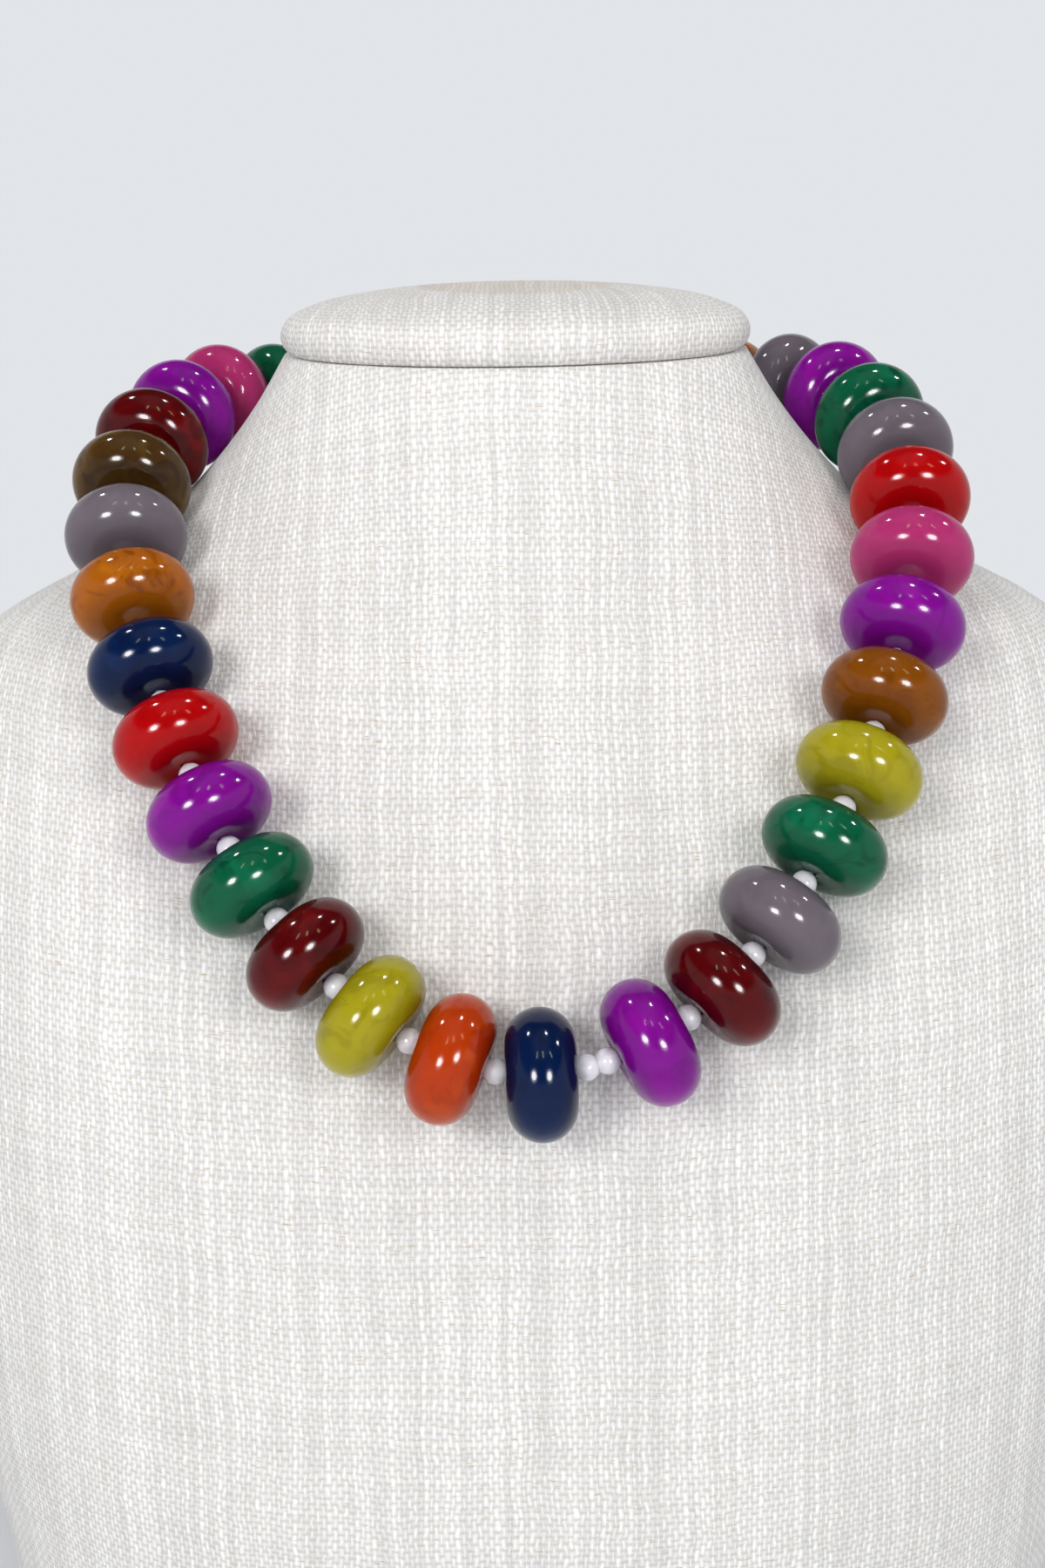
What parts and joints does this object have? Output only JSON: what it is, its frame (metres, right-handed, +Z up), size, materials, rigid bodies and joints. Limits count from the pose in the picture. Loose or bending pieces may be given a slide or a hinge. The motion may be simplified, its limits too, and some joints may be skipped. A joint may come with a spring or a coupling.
{
  "type": "beaded necklace on a linen neck bust",
  "caption": "Necklace of large polished resin rondelles in many colours with small white spacers, lying on a linen-covered neck bust.",
  "frame": {"origin": "centre of the bust's flat base, on the surface that it stands on", "axes": "+Z up, -Y out of the front of the bust, +X to the right as seen from the front"},
  "size_m": [0.226, 0.1578, 0.2457],
  "materials": {
    "linen": "natural off-white plain-weave linen, matt",
    "linen_cap": "the same linen stretched over padding",
    "resin_navy": "polished opaque resin",
    "resin_orange": "polished resin, cloudy inside, glossy",
    "resin_lime": "polished translucent resin with darker veins",
    "resin_maroon": "polished resin, cloudy inside, glossy",
    "resin_green": "polished resin, cloudy inside, glossy",
    "resin_purple": "polished resin, cloudy inside, glossy",
    "resin_red": "polished resin, cloudy inside, glossy",
    "resin_amber": "polished resin, cloudy inside, glossy",
    "resin_grey": "polished resin, cloudy inside, glossy",
    "resin_olive_brown": "polished resin, cloudy inside, glossy",
    "resin_pink": "polished resin, cloudy inside, glossy",
    "resin_caramel": "polished resin, cloudy inside, glossy",
    "spacer_white": "milky translucent white, polished",
    "clasp_silver": "polished silver-coloured metal"
  },
  "bodies": {
    "root": {"bust_body": "linen", "neck_cap": "linen_cap", "rondelle_centre": "resin_navy", "rondelle_left_01": "resin_orange", "rondelle_left_02": "resin_lime", "rondelle_left_03": "resin_maroon", "rondelle_left_04": "resin_green", "rondelle_left_05": "resin_purple", "rondelle_left_06": "resin_red", "rondelle_left_07": "resin_navy", "rondelle_left_08": "resin_amber", "rondelle_left_09": "resin_grey", "rondelle_left_10": "resin_olive_brown", "rondelle_left_11": "resin_maroon", "rondelle_left_12": "resin_purple", "rondelle_left_13": "resin_pink", "rondelle_left_14": "resin_green", "rondelle_left_15": "resin_orange", "rondelle_left_16": "resin_navy", "rondelle_right_01": "resin_purple", "rondelle_right_02": "resin_maroon", "rondelle_right_03": "resin_grey", "rondelle_right_04": "resin_green", "rondelle_right_05": "resin_lime", "rondelle_right_06": "resin_caramel", "rondelle_right_07": "resin_purple", "rondelle_right_08": "resin_pink", "rondelle_right_09": "resin_red", "rondelle_right_10": "resin_grey", "rondelle_right_11": "resin_green", "rondelle_right_12": "resin_purple", "rondelle_right_13": "resin_grey", "rondelle_right_14": "resin_amber", "rondelle_right_15": "resin_red", "rondelle_right_16": "resin_maroon", "strand_back_left": "spacer_white", "strand_left": "spacer_white", "strand_front": "spacer_white", "strand_right": "spacer_white", "strand_back_right": "spacer_white", "barrel_clasp": "clasp_silver"}
  },
  "joints": []
}
